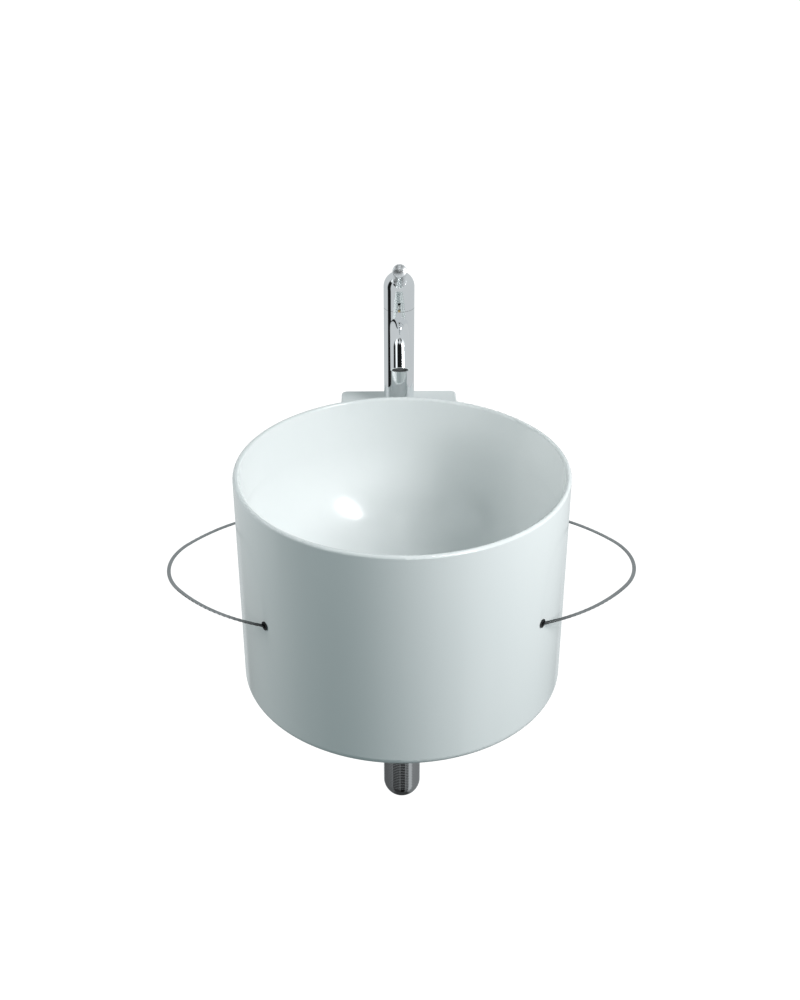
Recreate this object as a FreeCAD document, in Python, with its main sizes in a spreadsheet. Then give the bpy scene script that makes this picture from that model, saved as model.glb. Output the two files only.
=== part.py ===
import FreeCAD, Part

import math
import os

import Sketcher

# A small round wall hung basin with a tap ledge, two towel hoops, a joystick mixer tap, a push-open
# waste and a bottle trap. The origin is midway between the two wall bolts, on the wall's face.
# +X is to the right for someone who stands at the basin, +Y goes into the wall and +Z is up.
# Heights named "rise" count from the foot of the bowl's skirt, and those named "over_ledge" from
# the ledge's top.

doc = FreeCAD.newDocument("wall_hung_basin")
sheet = doc.addObject("Spreadsheet::Sheet", "Sizes")
nodes = {}


class Size:
    """A number together with the expression that ties it to the sheet."""

    def __init__(self, number, text):
        self.number = float(number)
        self.text = text

    def __add__(self, other):
        other = sized(other)
        return Size(self.number + other.number, f"({self.text} + {other.text})")

    def __sub__(self, other):
        other = sized(other)
        return Size(self.number - other.number, f"({self.text} - {other.text})")

    def __mul__(self, other):
        other = sized(other)
        return Size(self.number * other.number, f"({self.text} * {other.text})")

    def __truediv__(self, other):
        other = sized(other)
        return Size(self.number / other.number, f"({self.text} / {other.text})")

    def __neg__(self):
        return Size(-self.number, f"(0 - {self.text})")

    def __radd__(self, other):
        return sized(other) + self

    def __rsub__(self, other):
        return sized(other) - self

    def __rmul__(self, other):
        return sized(other) * self


def sized(value):
    return value if isinstance(value, Size) else Size(value, repr(float(value)))


def root(value):
    return Size(math.sqrt(value.number), f"sqrt({value.text})")


def across(radius, offset):
    """The other leg of a right triangle with this hypotenuse."""
    return root(radius * radius - offset * offset)


def cosine(angle):
    return Size(math.cos(math.radians(angle.number)), f"cos({angle.text} * 1deg)")


def sine(angle):
    return Size(math.sin(math.radians(angle.number)), f"sin({angle.text} * 1deg)")


def arc_sine(value):
    return Size(math.degrees(math.asin(value.number)), f"(asin({value.text}) / 1deg)")


def arc_cosine(value):
    return Size(math.degrees(math.acos(value.number)), f"(acos({value.text}) / 1deg)")


def arc_tangent(up, along):
    number = math.degrees(math.atan(up.number / along.number))
    return Size(number, f"(atan({up.text} / {along.text}) / 1deg)")


def size(name, number, note):
    """Writes one driving dimension into the sheet and returns it."""
    row = size.row = getattr(size, "row", 0) + 1
    sheet.set(f"A{row}", name)
    sheet.set(f"B{row}", repr(number))
    sheet.set(f"C{row}", note)
    sheet.setAlias(f"B{row}", name)
    return Size(number, f"Sizes.{name}")


# ---------------------------------------------------------------- driving dimensions, mm and degrees

# Bowl and skirt
body_radius = size("body_radius", 200, "outside of the round skirt")
body_rise = size("body_rise", 286, "foot of the skirt to the rim")
rim_thickness = size("rim_thickness", 6.5, "rounded rim")
rim_round = size("rim_round", 3.1, "rounding of the rim's two edges")
bowl_draft = size("bowl_draft", 3.5, "how much the bowl narrows above its curve")
bowl_curve = size("bowl_curve", 130, "radius of the bowl's big curve")
bowl_floor_rise = size("bowl_floor_rise", 100, "lowest point of the bowl's curve")
bowl_wall = size("bowl_wall", 10, "ceramic between bowl and hollow")
bowl_fall = size("bowl_fall", 2.5, "fall of the floor towards the drain")
skirt_wall = size("skirt_wall", 12, "thickness of the skirt")
foot_round = size("foot_round", 10, "rounding of the skirt's outer foot")

# Tap ledge behind the bowl
ledge_width = size("ledge_width", 156, "width against the wall")
ledge_depth = size("ledge_depth", 75, "back of the round body to the wall")
rim_above_ledge = size("rim_above_ledge", 26.5, "rim over the ledge's top")
ledge_drop = size("ledge_drop", 150, "height of the ledge block")
ledge_wall = size("ledge_wall", 12, "thickness of its walls")
ledge_flare = size("ledge_flare", 16, "hollow rounding into the skirt")
ledge_corner = size("ledge_corner", 8, "rounding of the corners at the wall")
ledge_edge = size("ledge_edge", 2.5, "rounding of the top edge")
ledge_hollow_front = size("ledge_hollow_front", 72, "wall to the front of the ledge's hollow")
bolt_rise = size("bolt_rise", 200, "height of the two wall bolts")
bolt_spacing = size("bolt_spacing", 100, "between the wall bolts")
bolt_hole_radius = size("bolt_hole_radius", 7, "hole for a wall bolt")

# Towel hoops
hoop_rise = size("hoop_rise", 144, "height of the hoops")
hoop_reach = size("hoop_reach", 288.4, "middle of the bowl to the hoop's nose")
hoop_shift = size("hoop_shift", 11.5, "how far the nose stands behind the bowl's middle")
hoop_nose = size("hoop_nose", 87, "radius of the nose")
hoop_arm = size("hoop_arm", 222, "radius of the two long arms")
hoop_hole_angle = size("hoop_hole_angle", 36.8, "front holes, below the bowl's cross line")
hoop_width = size("hoop_width", 4.75, "strip, seen from above")
hoop_thickness = size("hoop_thickness", 2, "strip, seen from the side")
hoop_lift = size("hoop_lift", 0.5, "end of the strip, out from the skirt's face")
stud_radius = size("stud_radius", 2.4, "threaded end of a hoop")
stud_head = size("stud_head", 2.3, "how far the threaded end stands out")
bush_radius = size("bush_radius", 5.4, "black bush, seen from outside")
bush_lip = size("bush_lip", 1.2, "thickness of its lip")
bush_hole_radius = size("bush_hole_radius", 4.5, "hole for it in the skirt")
hoop_washer_radius = size("hoop_washer_radius", 6, "washer inside the skirt")
hoop_washer_thickness = size("hoop_washer_thickness", 1, "that washer")
hoop_nut_flats = size("hoop_nut_flats", 8, "hoop nut across flats")
hoop_nut_height = size("hoop_nut_height", 4, "hoop nut")
stud_tail = size("stud_tail", 1.8, "thread past the nut")
strip_room = size("strip_room", 0.4, "how much larger the bush's slot is than the strip")

# Mixer tap
tap_to_wall = size("tap_to_wall", 37, "tap's middle to the wall")
tap_radius = size("tap_radius", 20, "column and cap")
tap_hole_radius = size("tap_hole_radius", 17.5, "hole in the ledge")
tap_seal_thickness = size("tap_seal_thickness", 1.5, "seal under the column")
tap_spigot_drop = size("tap_spigot_drop", 8, "spigot in the ledge's hole")
seam_over_ledge = size("seam_over_ledge", 136.5, "seam between column and cap")
seam_gap = size("seam_gap", 0.3, "running gap at the seam")
dome_over_ledge = size("dome_over_ledge", 164.5, "middle of the cap's dome")
cap_wall = size("cap_wall", 2.5, "shell of the cap")
notch_width = size("notch_width", 3.2, "index notch in the cap's lower edge")
notch_height = size("notch_height", 12.5, "that notch")
chamber_radius = size("chamber_radius", 14, "cartridge chamber")
chamber_depth = size("chamber_depth", 30, "cartridge chamber, below the seam")
thread_radius = size("thread_radius", 17, "thread of the cartridge nut")
thread_depth = size("thread_depth", 6.5, "that thread, below the seam")
neck_radius = size("neck_radius", 10.8, "cartridge's neck")
neck_top = size("neck_top", 16, "cartridge's neck above the seam")
pedestal_radius = size("pedestal_radius", 6, "seat of the lever's ball")
ball_seat_drop = size("ball_seat_drop", 3, "edge of that seat, below the ball's middle")
bearing_height = size("bearing_height", 5, "ring that carries the cap")
bearing_lift = size("bearing_lift", 3, "that ring above the seam")
inlet_offset = size("inlet_offset", 8.5, "hose inlets, left and right of the middle")
inlet_forward = size("inlet_forward", 5.5, "hose inlets, in front of the tap's middle")
inlet_radius = size("inlet_radius", 4.46, "core of an M10 fine thread")
inlet_depth = size("inlet_depth", 12, "that thread")
inlet_over_foot = size("inlet_over_foot", 28, "mouth of the threads, inside the column's hollow foot")
foot_bore_radius = size("foot_bore_radius", 15.2, "hollow foot of the column")
waterway_radius = size("waterway_radius", 3, "waterways in the column")

# Spout and aerator
spout_radius = size("spout_radius", 12, "outside of the tube")
spout_bore = size("spout_bore", 9.5, "inside of the tube")
spout_over_ledge = size("spout_over_ledge", 117.5, "middle of the level stretch")
spout_root = size("spout_root", 15, "socket's floor, from the tap's middle")
spout_corner = size("spout_corner", 63.5, "where the tube's two lines cross, from the tap's middle")
spout_drop_angle = size("spout_drop_angle", 52, "the slanted stretch below level")
spout_bend = size("spout_bend", 22, "radius of the bend")
spout_slant = size("spout_slant", 39.8, "crossing of the lines to the mouth")
mouth_radius = size("mouth_radius", 10.3, "seat of the aerator")
mouth_depth = size("mouth_depth", 14, "that seat")
aerator_inset = size("aerator_inset", 1, "aerator behind the mouth")
aerator_wall = size("aerator_wall", 1.4, "its housing's wall")
aerator_hole = size("aerator_hole", 0.9, "radius of a hole in its insert")
aerator_hole_circle = size("aerator_hole_circle", 6.2, "radius of the circle of those holes")
aerator_insert_height = size("aerator_insert_height", 4, "insert")

# Lever
lever_angle = size("lever_angle", 38, "closed lever above level")
lever_travel = size("lever_travel", 20, "lift of the lever")
lever_length = size("lever_length", 64, "dome's middle to the tip")
lever_base_radius = size("lever_base_radius", 7.3, "grip at its foot")
lever_tip_radius = size("lever_tip_radius", 9, "grip near its tip")
lever_crown = size("lever_crown", 1.4, "height of the domed end")
lever_edge = size("lever_edge", 1.2, "rounding where the grip meets its end")
lever_stem_radius = size("lever_stem_radius", 2.5, "steel stem")
lever_ball_radius = size("lever_ball_radius", 5, "ball in the cartridge's seat")
collar_radius = size("collar_radius", 8.5, "collar that rides on the dome")
collar_height = size("collar_height", 1.3, "collar above the dome")
lever_ring_radius = size("lever_ring_radius", 6.4, "dark ring under the grip")
lever_ring_height = size("lever_ring_height", 0.9, "that ring")

# Clamping of the tap
tap_stud_radius = size("tap_stud_radius", 4, "M8 stud")
tap_stud_back = size("tap_stud_back", 10, "stud behind the tap's middle")
tap_stud_grip = size("tap_stud_grip", 10, "stud inside the column")
tap_stud_tail = size("tap_stud_tail", 12, "stud past its nut")
clamp_radius = size("clamp_radius", 23, "horseshoe plate and pad")
clamp_mouth = size("clamp_mouth", 29, "opening for the hoses")
clamp_back = size("clamp_back", 2.5, "end of that opening, behind the tap's middle")
pad_thickness = size("pad_thickness", 3, "rubber pad")
plate_thickness = size("plate_thickness", 3, "steel plate")
stud_nut_flats = size("stud_nut_flats", 13, "stud nut across flats")
stud_nut_height = size("stud_nut_height", 15, "stud nut")

# Waste
drain_radius = size("drain_radius", 23, "drain hole in the ceramic")
recess_radius = size("recess_radius", 32.5, "recess round the drain")
recess_rise = size("recess_rise", 96, "floor of that recess")
boss_radius = size("boss_radius", 36, "boss under the drain")
boss_rise = size("boss_rise", 84, "underside of the boss")
flange_radius = size("flange_radius", 31.5, "waste flange")
flange_thickness = size("flange_thickness", 2.5, "waste flange")
seal_thickness = size("seal_thickness", 1, "upper seal of the waste")
tail_radius = size("tail_radius", 20.95, "waste tail, inch and a quarter thread")
tail_bore = size("tail_bore", 18, "inside of the waste tail")
tail_length = size("tail_length", 70, "flange to the end of the tail")
lower_seal_height = size("lower_seal_height", 8, "lower seal")
waste_washer_thickness = size("waste_washer_thickness", 2.5, "plastic washer")
waste_nut_height = size("waste_nut_height", 10, "lock nut")
waste_nut_flats = size("waste_nut_flats", 54, "lock nut across flats")
waste_ring_radius = size("waste_ring_radius", 30, "lower seal and washer")
thread_gap = size("thread_gap", 0.1, "radial gap of screwed pieces")
plug_radius = size("plug_radius", 30, "push-open plug")
plug_gap = size("plug_gap", 0.9, "plug above the flange when closed")
plug_edge = size("plug_edge", 2.2, "height of the plug's edge")
plug_crown = size("plug_crown", 3, "dome of the plug")
plug_seal_height = size("plug_seal_height", 0.6, "ring under the plug")
plug_seal_radius = size("plug_seal_radius", 28, "outside of that ring")
plug_seal_width = size("plug_seal_width", 2.4, "from its outside to its inside")
plug_stem_radius = size("plug_stem_radius", 5, "plug's stem")
plug_stem_length = size("plug_stem_length", 44, "plug's stem")
stem_gap = size("stem_gap", 0.05, "running clearance of the stem")
guide_height = size("guide_height", 10, "guide inside the waste")
guide_drop = size("guide_drop", 30, "top of the guide below the flange")
guide_hole_radius = size("guide_hole_radius", 3.8, "water hole in the guide")
guide_hole_circle = size("guide_hole_circle", 11.5, "radius of the circle of water holes")

# Bottle trap
trap_radius = size("trap_radius", 24.5, "outside of trap and cup")
trap_wall = size("trap_wall", 2, "its wall")
cup_centre_drop = size("cup_centre_drop", 190.5, "middle of the cup's round end, below the foot")
cup_length = size("cup_length", 70, "straight stretch of the cup")
cup_seal_height = size("cup_seal_height", 1.5, "seal between trap and cup")
trap_spigot = size("trap_spigot", 14, "thread of the trap inside the cup")
trap_head = size("trap_head", 62, "trap body above the cup")
trap_roof = size("trap_roof", 4, "roof of the trap body")
pipe_radius = size("pipe_radius", 16, "inlet and outlet pipe")
pipe_wall = size("pipe_wall", 1.2, "their wall")
dip_drop = size("dip_drop", 168, "end of the inlet pipe, below the foot")
inlet_nut_radius = size("inlet_nut_radius", 26, "nut on the waste tail")
inlet_nut_height = size("inlet_nut_height", 24, "that nut")
inlet_nut_floor = size("inlet_nut_floor", 3, "floor of that nut")
pipe_seal_height = size("pipe_seal_height", 4, "seal in a pipe nut")
collar_pipe_radius = size("collar_pipe_radius", 20, "collar of the trap's inlet")
collar_pipe_height = size("collar_pipe_height", 12, "that collar")
gland_nut_radius = size("gland_nut_radius", 23.5, "nut on a pipe collar")
gland_nut_height = size("gland_nut_height", 16, "that nut")
outlet_above_cup = size("outlet_above_cup", 30, "outlet above the cup's upper edge")
outlet_collar_length = size("outlet_collar_length", 38.5, "outlet collar, from the trap's middle")
outlet_insert = size("outlet_insert", 10, "outlet pipe inside the collar")
outlet_past_wall = size("outlet_past_wall", 40, "outlet pipe inside the wall")
depth_line = size("depth_line", 1, "turned line that shows how far the pipe goes in")
depth_line_cut = size("depth_line_cut", 0.25, "how deep that line is")
rosette_radius = size("rosette_radius", 34, "wall rosette")
rosette_depth = size("rosette_depth", 14, "wall rosette")
rosette_wall = size("rosette_wall", 1.2, "its sheet")
rosette_gap = size("rosette_gap", 0.3, "rosette round the pipe")

# Levels and places that several pieces share
foot = -bolt_rise
ledge_rise = body_rise - rim_above_ledge
ledge_top = foot + ledge_rise
seam = ledge_top + seam_over_ledge
dome = ledge_top + dome_over_ledge
spout_level = ledge_top + spout_over_ledge
hoop_level = foot + hoop_rise
axis_to_wall = body_radius + ledge_depth
basin_y = -axis_to_wall
tap_y = -tap_to_wall
tap_foot = ledge_top + tap_seal_thickness
inlet_level = tap_foot + inlet_over_foot
flange_foot = foot + recess_rise + seal_thickness
flange_top = flange_foot + flange_thickness
boss_foot = foot + boss_rise
tail_end = flange_foot - tail_length
cup_centre = foot - cup_centre_drop
cup_top = cup_centre + cup_length
trap_foot = cup_top + cup_seal_height
trap_top = trap_foot + trap_head
outlet_level = cup_top + outlet_above_cup
half_turn = sized(180)
past = 1  # how far a cutting tool runs past the face that it opens
doc.recompute()


# ---------------------------------------------------------------- ways of making a piece


def bind(item, name, value):
    """Sets a property and ties it to its sizes."""
    value = sized(value)
    item.setExpression(name, value.text)


TURNS = {
    "+X": FreeCAD.Rotation(FreeCAD.Vector(0, 1, 0), 90),
    "+Y": FreeCAD.Rotation(FreeCAD.Vector(1, 0, 0), -90),
    "-Y": FreeCAD.Rotation(FreeCAD.Vector(1, 0, 0), 90),
    "+Z": FreeCAD.Rotation(),
    "-Z": FreeCAD.Rotation(FreeCAD.Vector(1, 0, 0), 180),
}


def place(item, x=0, y=0, z=0, way="+Z", spin=None, about=(0, 0, 1)):
    """Puts an object's origin at x, y, z, its own +Z along a row axis or spun by an angle."""
    item.Placement = FreeCAD.Placement(FreeCAD.Vector(0, 0, 0), TURNS[way])
    if spin is not None:
        spin = sized(spin)
        turned_by = FreeCAD.Rotation(FreeCAD.Vector(*about), spin.number)
        item.Placement = FreeCAD.Placement(FreeCAD.Vector(0, 0, 0), turned_by)
        item.setExpression("Placement.Rotation.Angle", f"{spin.text} * 1deg")
    for letter, value in zip("xyz", (x, y, z)):
        bind(item, f"Placement.Base.{letter}", value)
    return item


def rod(name, radius, height, **where):
    item = doc.addObject("Part::Cylinder", name)
    bind(item, "Radius", radius)
    bind(item, "Height", height)
    return place(item, **where)


def block(name, length, width, height, **where):
    item = doc.addObject("Part::Box", name)
    bind(item, "Length", length)
    bind(item, "Width", width)
    bind(item, "Height", height)
    return place(item, **where)


def hexagon(name, flats, height, **where):
    item = doc.addObject("Part::Prism", name)
    item.Polygon = 6
    bind(item, "Circumradius", flats / 2 / cosine(sized(30)))
    bind(item, "Height", height)
    return place(item, **where)


def cut(name, base, *tools):
    tool = tools[0] if len(tools) == 1 else fuse(name + "_holes", *tools)
    item = doc.addObject("Part::Cut", name)
    item.Base = base
    item.Tool = tool
    return item


def fuse(name, *items):
    item = doc.addObject("Part::MultiFuse", name)
    item.Shapes = list(items)
    return item


def group(name, *items):
    item = doc.addObject("Part::Compound", name)
    item.Links = list(items)
    return item


def plane(body, role):
    return next(p for p in body.Origin.OriginFeatures if p.Role == role)


def draw(body, name, role, corners, closed=True):
    """A sketch of lines and arcs. A corner's third value is the radius of the arc that leads on
    from it, above zero where that arc turns left."""
    sketch = body.newObject("Sketcher::SketchObject", name)
    sketch.AttachmentSupport = (plane(body, role), [""])
    sketch.MapMode = "FlatFace"
    corners = [tuple(sized(value) for value in corner) for corner in corners]
    count = len(corners) if closed else len(corners) - 1
    ends = []
    for number in range(count):
        here = corners[number]
        there = corners[(number + 1) % len(corners)]
        start = FreeCAD.Vector(here[0].number, here[1].number, 0)
        finish = FreeCAD.Vector(there[0].number, there[1].number, 0)
        if len(here) == 2:
            sketch.addGeometry(Part.LineSegment(start, finish), False)
            ends.append((1, 2))
            continue
        radius = abs(here[2].number)
        left = here[2].number > 0
        chord = finish - start
        half = chord.Length / 2
        away = math.sqrt(max(radius * radius - half * half, 0))
        side = FreeCAD.Vector(-chord.y, chord.x, 0).normalize() * (away if left else -away)
        middle = (start + finish) / 2 + side
        first, last = (start, finish) if left else (finish, start)
        begin = math.atan2(first.y - middle.y, first.x - middle.x)
        end = math.atan2(last.y - middle.y, last.x - middle.x)
        circle = Part.Circle(middle, FreeCAD.Vector(0, 0, 1), radius)
        end = end if end > begin else end + 2 * math.pi
        sketch.addGeometry(Part.ArcOfCircle(circle, begin, end), False)
        ends.append((1, 2) if left else (2, 1))
    for number in range(count):
        here = corners[number]
        tie(sketch, number, ends[number][0], here)
        if number or closed:
            before = number - 1 if number else count - 1
            joint = Sketcher.Constraint("Coincident", number, ends[number][0], before, ends[before][1])
            sketch.addConstraint(joint)
        if len(here) == 3:
            radius = here[2] if here[2].number > 0 else -here[2]
            bound = sketch.addConstraint(Sketcher.Constraint("Radius", number, radius.number))
            sketch.setExpression(f"Constraints[{bound}]", radius.text)
    if not closed:
        tie(sketch, count - 1, ends[count - 1][1], corners[count])
    return sketch


def tie(sketch, element, point, corner):
    """Holds one end of a line or arc at its corner."""
    for kind, value in zip(("DistanceX", "DistanceY"), corner):
        constraint = Sketcher.Constraint(kind, -1, 1, element, point, value.number)
        bound = sketch.addConstraint(constraint)
        sketch.setExpression(f"Constraints[{bound}]", value.text)


def new_body(name):
    return doc.addObject("PartDesign::Body", name)


def feature(body, kind, name, profile, **settings):
    item = body.newObject(f"PartDesign::{kind}", name)
    item.Profile = profile
    for key, value in settings.items():
        setattr(item, key, value)
    return item


def turned(name, corners, **where):
    """A body turned about its own Z axis, from a half section of (radius, height) corners."""
    body = new_body(name)
    section = draw(body, name + "_section", "XZ_Plane", corners)
    feature(body, "Revolution", name + "_turn", section, ReferenceAxis=(section, ["V_Axis"]), Angle=360)
    return place(body, **where)


def tube(name, outer, inner, low, high, **where):
    """A turned ring with square edges."""
    return turned(name, [(inner, low), (outer, low), (outer, high), (inner, high)], **where)


def node(name, item, solids=1):
    """Names the finished object of one piece."""
    item.Label = name
    nodes[name] = (item, solids)
    return item


# ---------------------------------------------------------------- ceramic body


def edges_where(base, test):
    """Names of the edges of a feature whose points all pass a test."""
    names = []
    for number, edge in enumerate(base.Shape.Edges, 1):
        if edge.Degenerated:
            continue
        step = (edge.LastParameter - edge.FirstParameter) / 4
        if all(test(edge.valueAt(edge.FirstParameter + step * part)) for part in range(5)):
            names.append(f"Edge{number}")
    return names


def near(value, wanted):
    return abs(value - wanted) < 0.01


def round_edges(body, name, radius, test):
    doc.recompute()
    base = body.Tip
    names = edges_where(base, test)
    item = body.newObject("PartDesign::Fillet", name)
    item.Base = (base, names)
    bind(item, "Radius", radius)
    return item


def pad(body, name, outline, height):
    item = feature(body, "Pad", name, outline)
    bind(item, "Length", height)
    return item


def turn_round(body, kind, name, corners):
    """Adds or cuts a turned shape, given by its half section."""
    section = draw(body, name + "_section", "XZ_Plane", corners)
    feature(body, kind, name, section, ReferenceAxis=(section, ["V_Axis"]), Angle=360)


ceramic = new_body("ceramic")
drum = [(0, 0), (body_radius, 0), (body_radius, body_rise), (0, body_rise)]
turn_round(ceramic, "Revolution", "drum", drum)

# The ledge block, whose sides run in hollow curves into the round skirt
half_ledge = ledge_width / 2
flare_out = half_ledge + ledge_flare
flare_back = across(body_radius + ledge_flare, flare_out)
touch = body_radius / (body_radius + ledge_flare)
touch_x = flare_out * touch
touch_y = flare_back * touch
inner_y = touch_y - skirt_wall
corner_y = axis_to_wall - ledge_corner
corner_x = half_ledge - ledge_corner
ledge_outline = [
    (touch_x, inner_y),
    (touch_x, touch_y, -ledge_flare),
    (half_ledge, flare_back),
    (half_ledge, corner_y, ledge_corner),
    (corner_x, axis_to_wall),
    (-corner_x, axis_to_wall, ledge_corner),
    (-half_ledge, corner_y),
    (-half_ledge, flare_back, -ledge_flare),
    (-touch_x, touch_y),
    (-touch_x, inner_y),
]
ledge_plan = draw(ceramic, "ledge_plan", "XY_Plane", ledge_outline)
bind(ledge_plan, "AttachmentOffset.Base.z", ledge_rise - ledge_drop)
pad(ceramic, "ledge", ledge_plan, ledge_drop)


def off_drum(point):
    return math.hypot(point.x, point.y) > body_radius.number + thread_gap.number / 2


def on_ledge_top(point):
    return near(point.z, ledge_rise.number) and off_drum(point)


def on_ledge_foot(point):
    return near(point.z, (ledge_rise - ledge_drop).number) and off_drum(point)


# The bowl, the hollow under it and the drain
bowl_side = body_radius - rim_thickness
bowl_foot = bowl_side - bowl_draft
curve_middle = bowl_foot - bowl_curve
curve_rise = bowl_floor_rise + bowl_curve
bowl_outline = [
    (0, bowl_floor_rise - bowl_fall),
    (recess_radius, bowl_floor_rise - bowl_fall),
    (curve_middle, bowl_floor_rise, bowl_curve),
    (bowl_foot, curve_rise),
    (bowl_side, body_rise),
    (bowl_side, body_rise + skirt_wall),
    (0, body_rise + skirt_wall),
]
turn_round(ceramic, "Groove", "bowl", bowl_outline)
skirt_inside = body_radius - skirt_wall
back_curve = bowl_curve + bowl_wall
crotch_rise = curve_rise - across(back_curve, skirt_inside - curve_middle)
hollow_outline = [
    (0, -foot_round),
    (skirt_inside, -foot_round),
    (skirt_inside, crotch_rise, -back_curve),
    (curve_middle, curve_rise - back_curve),
    (boss_radius, curve_rise - back_curve - bowl_fall),
    (boss_radius, boss_rise),
    (0, boss_rise),
]
turn_round(ceramic, "Groove", "hollow", hollow_outline)
drain_outline = [
    (0, boss_rise - foot_round),
    (drain_radius, boss_rise - foot_round),
    (drain_radius, recess_rise),
    (recess_radius, recess_rise),
    (recess_radius, bowl_floor_rise + bowl_fall),
    (0, bowl_floor_rise + bowl_fall),
]
turn_round(ceramic, "Groove", "drain", drain_outline)

# Rounded edges: the rim, the foot of the skirt and the ledge
round_edges(ceramic, "rim_rounding", rim_round, lambda point: near(point.z, body_rise.number))
round_edges(
    ceramic,
    "foot_rounding",
    foot_round,
    lambda point: near(point.z, 0) and near(math.hypot(point.x, point.y), body_radius.number),
)
round_edges(ceramic, "ledge_rounding", ledge_edge, on_ledge_top)
round_edges(ceramic, "ledge_foot_rounding", ledge_edge, on_ledge_foot)
place(ceramic, y=basin_y, z=foot)

# Cuts through the walls: the ledge's hollow, the tap hole, the wall bolts and the hoops' bushes
ledge_inside = ledge_width - ledge_wall * 2
ledge_foot = ledge_top - ledge_drop
ledge_hollow = block(
    "ledge_hollow",
    ledge_inside,
    ledge_hollow_front - ledge_wall,
    ledge_drop,
    x=-ledge_inside / 2,
    y=-ledge_hollow_front,
    z=ledge_foot - ledge_wall,
)
tap_hole = rod("tap_hole", tap_hole_radius, ledge_wall * 3, y=tap_y, z=ledge_top - ledge_wall * 2)
body_cuts = [ledge_hollow, tap_hole]
for side, word in ((-1, "left"), (1, "right")):
    bolt_x = bolt_spacing / 2 * side
    reach = ledge_wall * 2
    body_cuts.append(rod(f"{word}_bolt_hole", bolt_hole_radius, reach, x=bolt_x, y=-reach + past, way="+Y"))

# ---------------------------------------------------------------- towel hoops
# In plan a hoop is a small round nose between two long arms. The arms' circles touch the nose's circle
# inside and go through the front hole; the back arm runs on until it meets the skirt.

front_across = body_radius * cosine(hoop_hole_angle)
front_back = body_radius * sine(hoop_hole_angle) + hoop_shift
nose_middle = hoop_reach - hoop_nose
run_x = nose_middle - front_across
run_y = front_back
spread = hoop_arm - hoop_nose
run_length = root(run_x * run_x + run_y * run_y)
spread_square = run_length * run_length + spread * spread - hoop_arm * hoop_arm
turn = arc_cosine(spread_square / (run_length * spread * 2))
nose_angle = turn - arc_tangent(run_y, run_x)
arm_middle_x = nose_middle - spread * cosine(nose_angle)
arm_middle_y = spread * sine(nose_angle)
meet_x = nose_middle + hoop_nose * cosine(nose_angle)
meet_y = hoop_nose * sine(nose_angle)


def arm_end(sign, radius):
    """Where an arm's circle crosses a circle about the bowl's middle, from the hoop's own origin."""
    centre_x = arm_middle_x
    centre_y = -arm_middle_y * sign + hoop_shift
    gap = root(centre_x * centre_x + centre_y * centre_y)
    along = (gap * gap + radius * radius - hoop_arm * hoop_arm) / (gap * 2)
    aside = across(radius, along)
    x = (centre_x * along - centre_y * aside * sign) / gap
    y = (centre_y * along + centre_x * aside * sign) / gap
    return x, y - hoop_shift


hoop_tip = body_radius + hoop_lift
hoop_ends = {sign: arm_end(sign, hoop_tip) for sign in (-1, 1)}


def hoop_place(side, sign):
    """One hole of a hoop: its angle about the bowl's middle, from +X, in degrees."""
    x, y = hoop_ends[sign]
    angle = arc_tangent(y + hoop_shift, x)
    return angle if side > 0 else half_turn - angle


def locate(item, angle, radius):
    """Stands an object at this angle and radius about the bowl's middle, its own +Z pointing out."""
    x = radius * cosine(angle)
    y = basin_y + radius * sine(angle)
    spot = f"create(<<vector>>; {x.text}; {y.text}; {hoop_level.text})"
    out = f"create(<<rotation>>; {angle.text}; 90; 0)"
    item.setExpression("Placement", f"create(<<placement>>; {spot}; {out})")
    return item


strip_half = hoop_width / 2
strip_flat = (hoop_width - hoop_thickness) / 2
strip_round = hoop_thickness / 2


def strip_corners(middle):
    """The flat strip with round edges, cut across."""
    return [
        (middle - strip_flat, -strip_round),
        (middle + strip_flat, -strip_round, strip_round),
        (middle + strip_half, 0, strip_round),
        (middle + strip_flat, strip_round),
        (middle - strip_flat, strip_round, strip_round),
        (middle - strip_half, 0, strip_round),
    ]


def make_hoop(side, word):
    """One hoop: a strip swept from its nose along both arms, with a threaded stud at each end."""
    body = new_body(f"{word}_strip")
    for sign, end_word in ((-1, "front"), (1, "back")):
        end_x, end_y = hoop_ends[sign]
        nose_turn = hoop_nose * (side * sign)
        arm_turn = hoop_arm * (side * sign)
        route = [
            (hoop_reach * side, 0, nose_turn),
            (meet_x * side, meet_y * sign, arm_turn),
            (end_x * side, end_y),
        ]
        path = draw(body, f"{word}_{end_word}_path", "XY_Plane", route, closed=False)
        section = draw(body, f"{word}_{end_word}_section", "XZ_Plane", strip_corners(hoop_reach * side))
        feature(body, "AdditivePipe", f"{word}_{end_word}_arm", section, Spine=(path, []), Mode=0)
    place(body, y=basin_y + hoop_shift, z=hoop_level)
    pieces = [body]
    for sign, end_word in ((-1, "front"), (1, "back")):
        stud_length = skirt_wall + hoop_washer_thickness + hoop_nut_height + stud_tail + stud_head
        stud = doc.addObject("Part::Cylinder", f"{word}_{end_word}_stud")
        bind(stud, "Radius", stud_radius)
        bind(stud, "Height", stud_length)
        pieces.append(locate(stud, hoop_place(side, sign), body_radius + stud_head - stud_length))
    return fuse(f"{word}_hoop_shape", *pieces)


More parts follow.
